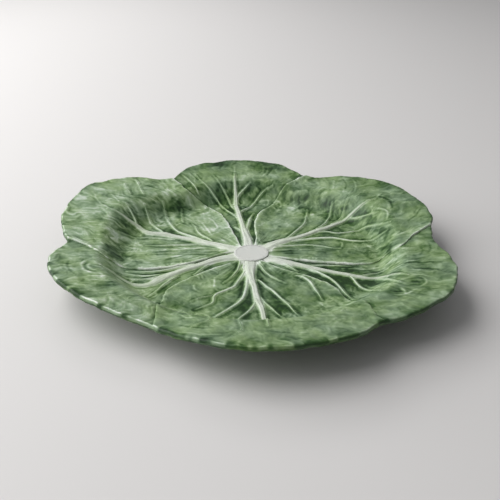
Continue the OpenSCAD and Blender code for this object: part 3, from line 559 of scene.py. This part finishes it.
def leaf_skin(leaf, turn, r):
    """Relief of a leaf's face over the bare dish in millimetres, and the thickness of its glaze, 0 to 1,
    which also holds painted light and shade.
    """
    x, y = plan(turn, r)
    share = share_of(r)
    edge = edge_space(leaf, turn, r)
    rib_space, vein_space = space_to(MIDRIB_SEGMENTS[leaf], x, y), space_to(VEIN_SEGMENTS[leaf], x, y)
    space = np.minimum(rib_space, vein_space)
    web = np.exp(-rib_space * vein_space / 1.6 - (rib_space + vein_space) / 4)
    root = (1 - blend(0.1, 0.26, share)) * bump(rib_space, 0, 2.4)
    collar = 1 - blend(0, 0.06, share)
    near_stalk = 1 - blend(0.06, 0.34, share)
    on_floor = blend(0.06, 0.22, share) * (1 - blend(0.62, 0.78, share))
    on_flange = blend(0.66, 0.86, share)
    on_wall = blend(0.5, 0.64, share) * (1 - blend(0.76, 0.9, share))
    crumpled = CRUMPLED[leaf]

    drift_x = 2.6 * noise(x / 9, y / 9, 21) + 1.1 * noise(x / 3.6, y / 3.6, 22)
    drift_y = 2.6 * noise(x / 9, y / 9, 23) + 1.1 * noise(x / 3.6, y / 3.6, 24)
    u, v = x + drift_x, y + drift_y
    wrinkles = creases(u / 7.5, v / 7.5, 25) * blend(-0.3, 0.3, noise(x / 17, y / 17, 26))
    wrinkles += 0.8 * creases(u / 4.2, v / 4.2, 27) * blend(-0.2, 0.4, noise(x / 13, y / 13, 28))
    sway = turn + 4 * noise(x / 22, y / 22, 29) + 1.2 * noise(x / 8, y / 8, 30)
    inner_streaks = noise(sway / 3.2, r / 16, 31) + 0.6 * noise(sway / 1.7, r / 10, 32)
    outer_streaks = noise(sway / 1.4, r / 17, 33) + 0.7 * noise(sway / 0.75, r / 10, 34)
    streaks = inner_streaks + (outer_streaks - inner_streaks) * blend(0.25, 0.6, share)
    streaks = streaks * STREAKED[leaf]
    folds = noise(turn / 4.2, r / 22, 35) + 0.6 * noise(turn / 1.9, r / 14, 36)
    cloud = noise(u / 17, v / 17, 37) + 0.6 * noise(u / 8.5, v / 8.5, 38)
    dabs = noise(u / 5.2, v / 5.2, 39) + 0.4 * noise(u / 2.6, v / 2.6, 40)
    dark_dabs = blend(0.12, 0.55, noise(u / 8.5, v / 8.5, 41) + 0.4 * noise(u / 4, v / 4, 42))
    light_dabs = blend(0.2, 0.6, noise(u / 6.5, v / 6.5, 43) + 0.4 * noise(u / 3, v / 3, 44))

    fillet = bump(space, 0, 0.8)
    furrow = bump(space, 1.2, 0.9) * (0.8 + 0.3 * noise(x / 8, y / 8, 45)) * (1 - web) * (1 - collar)
    valley = bump(space, 0, 5)
    relief = 0.2 * fillet - 0.15 * furrow + 0.12 * cloud * (1 - near_stalk)
    relief += (0.5 * web + 0.4 * root) * blend(0, 0.07, share)
    relief += (0.2 * crumpled * wrinkles + 0.08 * dabs) * on_floor + 0.07 * streaks
    relief += 0.28 * folds * near_stalk + (0.13 * streaks + 0.08 * wrinkles) * on_flange
    glaze = LEAF_TONES_AND_LIGHT[leaf] + 0.095 * cloud + 0.03 * dabs
    glaze -= (0.18 * crumpled * on_floor + 0.07 * on_flange + 0.1 * on_wall) * wrinkles
    glaze -= (0.07 + 0.04 * on_floor * (1 - crumpled) + 0.06 * on_flange) * streaks + 0.1 * folds * near_stalk
    glaze += (0.11 + 0.11 * on_wall) * dark_dabs - (0.09 + 0.06 * on_wall) * light_dabs
    glaze += 0.24 * furrow * (1 - 0.4 * on_flange) - 0.12 * fillet + 0.09 * valley * (1 - on_flange)
    glaze -= 0.28 * web + 0.24 * root + 0.3 * collar
    stroke_relief, stroke_glaze = stroke_marks(leaf, x, y)
    relief += stroke_relief
    glaze += stroke_glaze * (1 - fillet)
    front_flange = blend(0.4, 0.64, share) * (leaf in FRONT_LEAVES)
    if LIPPED[leaf]:
        relief += lip_h * (1 - blend(0, lip_w, edge)) * (1 - 0.45 * np.maximum(front_flange, on_wall))
        roll = np.clip(1 - edge / (1 + front_flange), 0, 1)
        relief -= (1 - 0.4 * front_flange) * (1 - np.sqrt(1 - roll**2))
        worn = 0.9 + 0.3 * noise(r / 9, leaf + 0.5, 46)
        worn *= 1 - np.maximum(0.75 * front_flange, 0.4 * on_wall)
        glaze -= (0.25 * (1 - blend(0.6, 2.1, edge)) + 0.18 * bump(edge, 0, 3)) * worn
        rungs = np.sin(2 * math.pi * (r + 3.2 * noise(x / 7, y / 7, 47)) / 4.2)
        rungs *= bump(edge, 5, 3) * blend(0.1, 0.2, share) * (1 - blend(0.42, 0.52, share))
        rungs *= blend(-0.35, 0.35, noise(x / 10, y / 10, 67))
        relief += 0.16 * rungs
        glaze -= 0.15 * rungs
    else:
        # A leaf without a lip lies under the lipped edge of the next one: a slight groove along its edge, and
        # a dark band there that is partly glaze pooled in the groove and partly painted shade cast by the
        # overlapping edge
        relief -= 0.25 * bump(edge, 0, 1.6)
        pooled_and_shaded = 0.75 + 0.35 * noise(r / 9, leaf + 0.5, 48)
        glaze += (0.3 - 0.12 * front_flange) * bump(edge, 0, 1.8 + 2.4 * front_flange) * pooled_and_shaded
    pool_share = share + 0.018 * noise(x / 6, y / 6, 49)
    pool_turn = turn + np.degrees(2.8 * noise(x / 6, y / 6, 50) / r)
    uneven = 0.7 + 0.45 * blend(-0.3, 0.4, noise(u / 5, v / 5, 68))
    for low_share, high_share, low_turn, high_turn, strength in GLAZE_POOLS_AND_SHADE[leaf]:
        out = (2 * pool_share - low_share - high_share) / (high_share - low_share)
        off = (2 * pool_turn - low_turn - high_turn) / (high_turn - low_turn)
        glaze += strength * uneven * np.exp(-((out**2 + off**2) ** 1.7) * 0.7) * (1 - 0.5 * fillet)
    return relief, np.clip(glaze, 0.02, 1)


def points_of(piece):
    """Places of a piece's points, in metres."""
    places = np.empty(len(piece.data.vertices) * 3)
    piece.data.vertices.foreach_get("co", places)
    return places.reshape(-1, 3)


def move_points(piece, places):
    piece.data.vertices.foreach_set("co", places.ravel())
    piece.data.update()


def shell(name, top, under):
    """Closed shell between two sheets of points. A sheet's rows run outwards and its columns anticlockwise.
    Gives the piece, and the row, the column and the sheet that each of its points comes from."""
    rows, columns = top.shape[:2]
    bpy.ops.object.select_all(action="DESELECT")
    bpy.ops.mesh.primitive_grid_add(x_subdivisions=rows - 1, y_subdivisions=columns - 1, size=1)
    piece = bpy.context.object
    piece.name = piece.data.name = name
    bpy.ops.object.mode_set(mode="EDIT")
    bpy.ops.mesh.select_all(action="SELECT")
    bpy.ops.mesh.extrude_region_move(TRANSFORM_OT_translate={"value": (0, 0, 1)})
    bpy.ops.mesh.select_all(action="SELECT")
    bpy.ops.mesh.normals_make_consistent(inside=False)
    bpy.ops.object.mode_set(mode="OBJECT")
    places = points_of(piece)
    row = np.rint((places[:, 0] + 0.5) * (rows - 1)).astype(int)
    column = np.rint((places[:, 1] + 0.5) * (columns - 1)).astype(int)
    upper = places[:, 2] > 0.5
    spots = np.where(upper[:, None], top[row, column], under[row, column])
    move_points(piece, (spots + (axis_x, axis_y, 0)) * MM)
    bpy.ops.object.shade_smooth_by_angle(angle=math.radians(70))
    return piece, row, column, upper


def note(piece, name, values):
    """Keeps one number a point on a piece, for its material to read."""
    piece.data.attributes.new(name, "FLOAT", "POINT").data.foreach_set("value", values.astype(np.float32))


def spots_of(turn, r, z):
    return np.stack([*plan(turn, r), z], axis=-1)


def srgb(red, green, blue):
    """Colour for a shader from the three numbers, up to 255, by which a picture shows it."""
    shown = [red / 255, green / 255, blue / 255]
    return (*[c / 12.92 if c <= 0.04045 else ((c + 0.055) / 1.055) ** 2.4 for c in shown], 1)


def set_inputs(node, values):
    for name, value in values.items():
        node.inputs[name].default_value = value


def colour_ramp(nodes, links, fac, colours):
    ramp = nodes.new("ShaderNodeValToRGB")
    while len(ramp.color_ramp.elements) < len(colours):
        ramp.color_ramp.elements.new(0.5)
    for element, (position, colour) in zip(ramp.color_ramp.elements, colours):
        element.position = position
        element.color = srgb(*colour)
    links.new(fac, ramp.inputs["Fac"])
    return ramp.outputs["Color"]


def patches(nodes, links, place, scale, detail, low, high):
    """Soft random patches, as a number between low and high."""
    pattern = nodes.new("ShaderNodeTexNoise")
    set_inputs(pattern, {"Scale": scale, "Detail": detail})
    links.new(place, pattern.inputs["Vector"])
    spread = nodes.new("ShaderNodeMapRange")
    set_inputs(spread, {"From Min": 0.36, "From Max": 0.64, "To Min": low, "To Max": high})
    links.new(pattern.outputs["Fac"], spread.inputs["Value"])
    return spread.outputs["Result"]


def mixed(nodes, links, fac, first, second):
    mix = nodes.new("ShaderNodeMix")
    mix.data_type = "RGBA"
    colours_in = [socket for socket in mix.inputs if socket.type == "RGBA"]
    links.new(fac, mix.inputs[0])
    links.new(first, colours_in[0])
    links.new(second, colours_in[1])
    return next(socket for socket in mix.outputs if socket.type == "RGBA")


def glaze_material(name, warm, cool, roughness, level=None):
    """Glossy glaze over white clay. Its colour follows the glaze's thickness, with any painted light and
    shade in it, which a piece notes at its points or which lies evenly about one level, and it drifts between
    a warm and a cool green."""
    material = bpy.data.materials.new(name)
    material.use_nodes = True
    nodes, links = material.node_tree.nodes, material.node_tree.links
    shader = nodes["Principled BSDF"]
    set_inputs(shader, {"Specular IOR Level": 0.18})
    place = nodes.new("ShaderNodeTexCoord").outputs["Object"]
    depth = patches(nodes, links, place, 330, 3, -0.03, 0.03)
    if level is None:
        kept = nodes.new("ShaderNodeAttribute")
        kept.attribute_name = "glaze"
        total = nodes.new("ShaderNodeMath")
        links.new(kept.outputs["Fac"], total.inputs[0])
        links.new(depth, total.inputs[1])
        depth = total.outputs["Value"]
    else:
        depth = patches(nodes, links, place, 150, 5, level - 0.1, level + 0.1)
    drift = patches(nodes, links, place, 55, 3, 0.1, 0.75)
    colour = mixed(
        nodes, links, drift,
        colour_ramp(nodes, links, depth, warm), colour_ramp(nodes, links, depth, cool),
    )
    links.new(colour, shader.inputs["Base Color"])
    dullness = patches(nodes, links, place, 240, 3, roughness - 0.06, roughness + 0.06)
    links.new(dullness, shader.inputs["Roughness"])
    ripple = nodes.new("ShaderNodeTexNoise")
    set_inputs(ripple, {"Scale": 500, "Detail": 2})
    links.new(place, ripple.inputs["Vector"])
    relief = nodes.new("ShaderNodeBump")
    set_inputs(relief, {"Strength": 0.12, "Distance": 0.0002})
    links.new(ripple.outputs["Fac"], relief.inputs["Height"])
    links.new(relief.outputs["Normal"], shader.inputs["Normal"])
    return material


# Glaze colours from thin to thick, each with the thickness at which it shows, where it is warm and cool
WARM_GLAZE = [
    (0.0, (216, 221, 209)), (0.15, (188, 201, 176)), (0.3, (158, 178, 138)), (0.45, (133, 156, 110)),
    (0.6, (107, 131, 85)), (0.75, (78, 106, 57)), (0.88, (53, 83, 37)), (1.0, (33, 60, 24)),
]
COOL_GLAZE = [
    (0.0, (210, 215, 209)), (0.15, (179, 193, 177)), (0.3, (147, 167, 143)), (0.45, (120, 142, 116)),
    (0.6, (94, 116, 92)), (0.75, (70, 93, 70)), (0.88, (50, 71, 50)), (1.0, (33, 51, 34)),
]
leaf_glaze = glaze_material("leaf_glaze", WARM_GLAZE, COOL_GLAZE, 0.36)

floor_rows = 132
wall_rows = 88
rim_turns = np.linspace(0, 90, 9)
inner_columns = 158
edge_steps = np.array([0, 0.12, 0.3, 0.55, 0.85])
seam_tries = 8
# Angle at which the rim's edge faces the lamp; the painted highlights on the edge gather round it
lit_turn = 228

# Rows of a leaf: share of the floor, share of the wall, and how far round the rim's edge
rim_rows = len(rim_turns) - 1
floor_shares = np.concatenate([np.linspace(0, 1, floor_rows), np.ones(wall_rows + rim_rows)])
wall_shares = np.concatenate([np.zeros(floor_rows), np.linspace(0, 1, wall_rows + 1)[1:], np.ones(rim_rows)])
row_rim_turns = np.concatenate([np.zeros(floor_rows + wall_rows), np.radians(rim_turns[1:])])


def row_r(turn):
    """Radius of each row of a leaf at an angle, given one angle, or one row of angles, a row."""
    shape = (-1,) + (1,) * (turn.ndim - 1)
    floor_share, wall_share, rim_turn = (
        values.reshape(shape) for values in (floor_shares, wall_shares, row_rim_turns)
    )
    outer = rim_r(turn) - edge_round
    r = leaf_in_r + floor_share * (well_r - leaf_in_r) + wall_share * (outer - well_r)
    return r + edge_round * np.sin(rim_turn)


def leaf_grid(leaf):
    """Angle, radius and rim drop of each point of a leaf, row by row from its inner end to its rim."""
    ends = []
    for seam in (leaf, leaf + 1):
        turn = seam_turn(seam, np.full(floor_shares.shape, float(far_r)))
        for _ in range(seam_tries):
            turn = seam_turn(seam, row_r(turn))
        ends.append(turn)
    arc = np.radians(ends[1] - ends[0]) * (row_r(ends[0]) + row_r(ends[1])) / 2
    edge = edge_steps / arc[:, None]
    inner = edge[:, -1:] + (1 - 2 * edge[:, -1:]) * np.linspace(0, 1, inner_columns)
    across = np.concatenate([edge[:, :-1], inner, 1 - edge[:, -2::-1]], axis=1)
    turn = ends[0][:, None] + across * (ends[1] - ends[0])[:, None]
    drop = np.broadcast_to((edge_round * (1 - np.cos(row_rim_turns)))[:, None], turn.shape)
    return turn, row_r(turn), drop


for leaf, leaf_name in enumerate(LEAVES):
    turn, r, drop = leaf_grid(leaf)
    relief, glaze = leaf_skin(leaf, turn, r)
    bare = bare_z(turn, r)
    clay = body_t + (rim_t - body_t) * np.minimum(way_out(turn, r), 1)
    top = spots_of(turn, r, bare + relief - drop)
    under = spots_of(turn, r, bare - clay + drop)
    piece, row, column, upper = shell("leaf_face_" + leaf_name, top, under)
    under_glaze = 0.76 + 0.12 * noise(turn / 3, r / 9, 61) + 0.08 * noise(turn / 1.2, r / 5, 62)
    # Rim edge: pale breaks where the glaze runs thin and dark blots where it pools, with painted highlights
    # over them (pale glints and a lighter edge face) gathered on the side towards the lamp (lit_side)
    beads = noise(*plan(turn, 12), 63) + 0.5 * noise(*plan(turn, 30), 64)
    lit_side = bump(turn, lit_turn, 60)
    round_edge = drop / edge_round
    pale_breaks_and_glints = bump(round_edge, 0.12, 0.2) * (drop > 0) * blend(-0.1, 0.3, beads) * (0.2 + 0.8 * lit_side)
    run_down = blend(0.1, 0.5, round_edge)
    edge_glaze_and_light = 0.92 - (0.16 + 0.32 * lit_side) * blend(-0.2, 0.15, beads)
    blots = blend(-0.05, 0.2, -beads) * bump(r, rim_r(turn), 4.6) * (0.3 + 0.7 * lit_side)
    face_glaze_and_light = glaze - 0.42 * pale_breaks_and_glints + 0.5 * blots
    face_glaze_and_light += (edge_glaze_and_light - face_glaze_and_light) * run_down * (1 - 0.6 * pale_breaks_and_glints)
    note(piece, "glaze", np.where(upper, face_glaze_and_light[row, column], under_glaze[row, column]))
    piece.data.materials.append(leaf_glaze)
    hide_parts("leaf_" + leaf_name)
    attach(piece, "root")


# Middle ribs
# The thick pale rib of each leaf, raised in the mould and carried over the white clay with hardly any glaze
# on its crown. It flares out of the stalk, flattens on the floor and dies away up the wall.
WARM_RIB = [(0.0, (203, 210, 195)), (0.15, (186, 197, 174)), (0.3, (163, 180, 146))] + WARM_GLAZE[3:]
COOL_RIB = [(0.0, (199, 203, 195)), (0.15, (179, 187, 173)), (0.3, (151, 166, 145))] + COOL_GLAZE[3:]
rib_glaze = glaze_material("rib_glaze", WARM_RIB, COOL_RIB, 0.3)
midrib_h = 2
MIDRIB_HEIGHTS = [(0, 0.42), (0.12, 0.6), (0.5, 0.6), (0.8, 0.4), (1, 0.05)]
MIDRIB_CROWNS = [(0, 0.03), (0.4, 0.08), (0.7, 0.14), (0.85, 0.22), (1, 0.5)]
ridge_root = 1.4


def ridge_piece(name, leaf, line, height, crown_glaze, flat_share, across_count):
    """Soft-edged ridge along a line on a leaf, rooted under its face. Its glaze is thin on the crown."""
    turn, r, _, half_w = line
    mid_x, mid_y = plan(turn, r)
    run_x, run_y = np.gradient(mid_x), np.gradient(mid_y)
    run = np.hypot(run_x, run_y)
    across = np.linspace(-1, 1, across_count)
    x = mid_x[:, None] - (run_y / run * half_w)[:, None] * across
    y = mid_y[:, None] + (run_x / run * half_w)[:, None] * across
    place_r = np.hypot(x, y)
    place_turn = np.degrees(np.arctan2(y, x))
    place_turn = turn[:, None] + (place_turn - turn[:, None] + 180) % 360 - 180
    swell = blend(0, 1 - flat_share, 1 - np.abs(across))
    relief, foot = leaf_skin(leaf, place_turn, place_r)
    bare = bare_z(place_turn, place_r)
    ground = bare + relief
    ground += (ground[:, across_count // 2][:, None] - ground) * 0.5 * swell
    strands = noise(across[None] * half_w[:, None] / 1.3, r[:, None] / 18, 65)
    top_z = ground + (height[:, None] + 0.2 * strands) * swell - 0.12 * (1 - swell)
    top = np.stack([x, y, top_z], axis=-1)
    under = np.stack([x, y, bare - ridge_root], axis=-1)
    piece, row, column, _ = shell(name, top, under)
    crown = blend(0, 0.7, swell)
    grain = 0.05 * noise(x / 7, y / 7, 66) - 0.1 * strands
    glaze = foot * (1 - crown) + (crown_glaze[:, None] + grain) * crown
    note(piece, "glaze", np.clip(glaze, 0, 1)[row, column])
    return piece


for leaf, leaf_name in enumerate(LEAVES):
    line = midrib_line(leaf)
    height = midrib_h * ease(MIDRIB_HEIGHTS, line[2])
    crown_glaze = ease(MIDRIB_CROWNS, line[2])
    piece = ridge_piece("midrib_face_" + leaf_name, leaf, line, height, crown_glaze, 0.45, 21)
    piece.data.materials.append(rib_glaze)
    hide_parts("midrib_" + leaf_name)
    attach(piece, "root")


# Side veins
# Thin branching veins of each leaf, raised from the same clay. The glaze breaks pale on their crests, and
# each one starts and ends as a point that sinks into the leaf.
vein_glaze = glaze_material("vein_glaze", WARM_GLAZE, COOL_GLAZE, 0.28)
VEIN_HEIGHTS = [(0, 0.5), (0.16, 1), (0.6, 0.8), (1, 0.05)]
VEIN_CROWNS = [(0, 0.02), (0.4, 0.03), (0.8, 0.14), (1, 0.38)]

for leaf, leaf_name in enumerate(LEAVES):
    veins = []
    for vein in VEINS[leaf]:
        # A stout vein stands higher, and one that starts out on the flange is low
        line = vein_line(leaf, vein)
        stout = min(vein[0], 1.2) ** 0.6 * (1 - 0.6 * (vein[1][0] > 0.74))
        height = vein_h * stout * ease(VEIN_HEIGHTS, line[2])
        crown_glaze = 0.19 / vein[0] + ease(VEIN_CROWNS, line[2])
        veins.append(ridge_piece("vein", leaf, line, height, crown_glaze, 0.1, 11))
    bpy.ops.object.select_all(action="DESELECT")
    for vein in veins:
        vein.select_set(True)
    bpy.context.view_layer.objects.active = veins[0]
    bpy.ops.object.join()
    piece = veins[0]
    piece.name = piece.data.name = "side_veins_face_" + leaf_name
    piece.data.materials.append(vein_glaze)
    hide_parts("side_veins_" + leaf_name)
    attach(piece, "root")


# Stalk
# Pale cut face in the middle, a disc of the same clay with a soft edge and a slightly hollow face. The glaze
# was wiped off it, so it is greyer and duller than the ribs. Its underside is green like the leaves' own.
WARM_CLAY = [(0.0, (206, 206, 200)), (0.5, (199, 200, 194)), (1.0, (190, 192, 184))]
COOL_CLAY = [(0.0, (202, 204, 199)), (0.5, (195, 198, 193)), (1.0, (186, 190, 184))]
UNDER_GREEN = [(0.0, (64, 92, 48)), (0.5, (78, 106, 60)), (1.0, (92, 119, 76))]


def colour_below(material, height, scale, colours, soft=0.0003):
    """Gives a glaze other colours, in soft patches, below a height in metres, with a soft change there."""
    nodes, links = material.node_tree.nodes, material.node_tree.links
    place = nodes.new("ShaderNodeTexCoord").outputs["Object"]
    split = nodes.new("ShaderNodeSeparateXYZ")
    links.new(place, split.inputs["Vector"])
    above = nodes.new("ShaderNodeMapRange")
    set_inputs(above, {"From Min": height - soft, "From Max": height + soft})
    links.new(split.outputs["Z"], above.inputs["Value"])
    below = colour_ramp(nodes, links, patches(nodes, links, place, scale, 4, 0, 1), colours)
    base = nodes["Principled BSDF"].inputs["Base Color"]
    links.new(mixed(nodes, links, above.outputs["Result"], below, base.links[0].from_socket), base)


stalk_glaze = glaze_material("stalk_glaze", WARM_CLAY, COOL_CLAY, 0.42, 0.4)
colour_below(stalk_glaze, (foot_h + body_t / 2) * MM, 150, UNDER_GREEN)
stalk_edge_r = 0.45
stalk_rise = 1.9
stalk_hollow = 0.25
ring_count = 9
stalk_t = floor_z + stalk_rise - foot_h


def select_tops(piece, least_z):
    """Selects a piece's faces that look straight up, from a height up, and goes into edit mode."""
    bpy.ops.object.mode_set(mode="EDIT")
    bpy.ops.mesh.select_mode(type="FACE")
    bpy.ops.mesh.select_all(action="DESELECT")
    bpy.ops.object.mode_set(mode="OBJECT")
    for face in piece.data.polygons:
        face.select = face.normal.z > 0.99 and face.center.z > least_z
    bpy.ops.object.mode_set(mode="EDIT")


bpy.ops.object.select_all(action="DESELECT")
bpy.ops.mesh.primitive_cylinder_add(
    vertices=120, radius=stalk_r * MM, depth=stalk_t * MM,
    location=(axis_x * MM, axis_y * MM, (foot_h + stalk_t / 2) * MM),
)
stalk = bpy.context.object
stalk.name = stalk.data.name = "stalk_face"
bpy.ops.object.transform_apply(location=True)
select_tops(stalk, floor_z * MM)
bpy.ops.mesh.bevel(offset=stalk_edge_r * MM, segments=7, affect="EDGES")
select_tops(stalk, floor_z * MM)
for _ in range(ring_count):
    bpy.ops.mesh.inset(thickness=(stalk_r - stalk_edge_r) / (ring_count + 1) * MM)
bpy.ops.mesh.poke()
bpy.ops.object.mode_set(mode="OBJECT")
places = points_of(stalk)
x, y = places[:, 0] / MM - axis_x, places[:, 1] / MM - axis_y
hollow = stalk_hollow * (1 - blend(2, stalk_r - stalk_edge_r, np.hypot(x, y)))
swirl = 0.1 * noise(x / 5, y / 5, 71) + 0.06 * noise(x / 2.4, y / 2.4, 72)
places[:, 2] += np.where(places[:, 2] > floor_z * MM, (swirl - hollow) * MM, 0)
move_points(stalk, places)
bpy.ops.object.shade_smooth_by_angle(angle=math.radians(50))
stalk.data.materials.append(stalk_glaze)
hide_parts("stalk_disc")
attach(stalk, "root")


# Foot ring
# Turned ring under the floor, glazed like the underside. Its standing face was wiped clean before firing, so
# the white clay shows there.
wiped_h = 0.6
WIPED_CLAY = [(0.0, (205, 198, 184)), (1.0, (222, 217, 206))]
foot_glaze = glaze_material("foot_glaze", WARM_GLAZE, COOL_GLAZE, 0.3, 0.78)
colour_below(foot_glaze, wiped_h * MM, 500, WIPED_CLAY)
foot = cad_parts["foot_ring"]
foot.data.materials.clear()
foot.data.materials.append(foot_glaze)


# Floor, lamps and camera
# A pale seamless floor, one large soft lamp on the left, a small one over the far floor and a pale sky.
bpy.ops.object.select_all(action="DESELECT")
bpy.ops.mesh.primitive_plane_add(size=8)
floor = bpy.context.object
floor.name = "floor"
floor_paint = bpy.data.materials.new("floor_paint")
floor_paint.use_nodes = True
floor_shader = floor_paint.node_tree.nodes["Principled BSDF"]
set_inputs(floor_shader, {"Base Color": (0.62, 0.605, 0.595, 1), "Roughness": 0.9})
floor.data.materials.append(floor_paint)

scene = bpy.context.scene
world = bpy.data.worlds.new("sky")
scene.world = world
world.use_nodes = True
set_inputs(world.node_tree.nodes["Background"], {"Color": (0.97, 0.98, 1, 1), "Strength": 0.27})


def square_lamp(name, size, energy, location):
    """Soft lamp that shines straight down."""
    lamp = bpy.data.objects.new(name, bpy.data.lights.new(name, "AREA"))
    lamp.data.size = size
    lamp.data.energy = energy
    lamp.location = location
    scene.collection.objects.link(lamp)
    return lamp


lamp = square_lamp("window", 1.5, 25, (-0.93, 0.04, 0.79))
lamp.rotation_euler = (-lamp.location).to_track_quat("-Z", "Y").to_euler()
far_lamp = square_lamp("far_window", 0.8, 8, (-0.6, 1.25, 0.9))
far_lamp.visible_glossy = False

view_distance = 0.6
view_height = math.radians(27.24)
aim_z = 0.01175
camera_data = bpy.data.cameras.new("camera")
camera_data.lens = 55.45
camera_data.sensor_width = 36
camera_data.shift_x = -0.0024
camera_data.shift_y = 0.005
camera = bpy.data.objects.new("camera", camera_data)
scene.collection.objects.link(camera)
camera.location = (
    axis_x * MM,
    axis_y * MM - view_distance * math.cos(view_height),
    aim_z + view_distance * math.sin(view_height),
)
camera.rotation_euler = (math.pi / 2 - view_height, 0, 0)
scene.camera = camera
scene.view_settings.view_transform = "Standard"
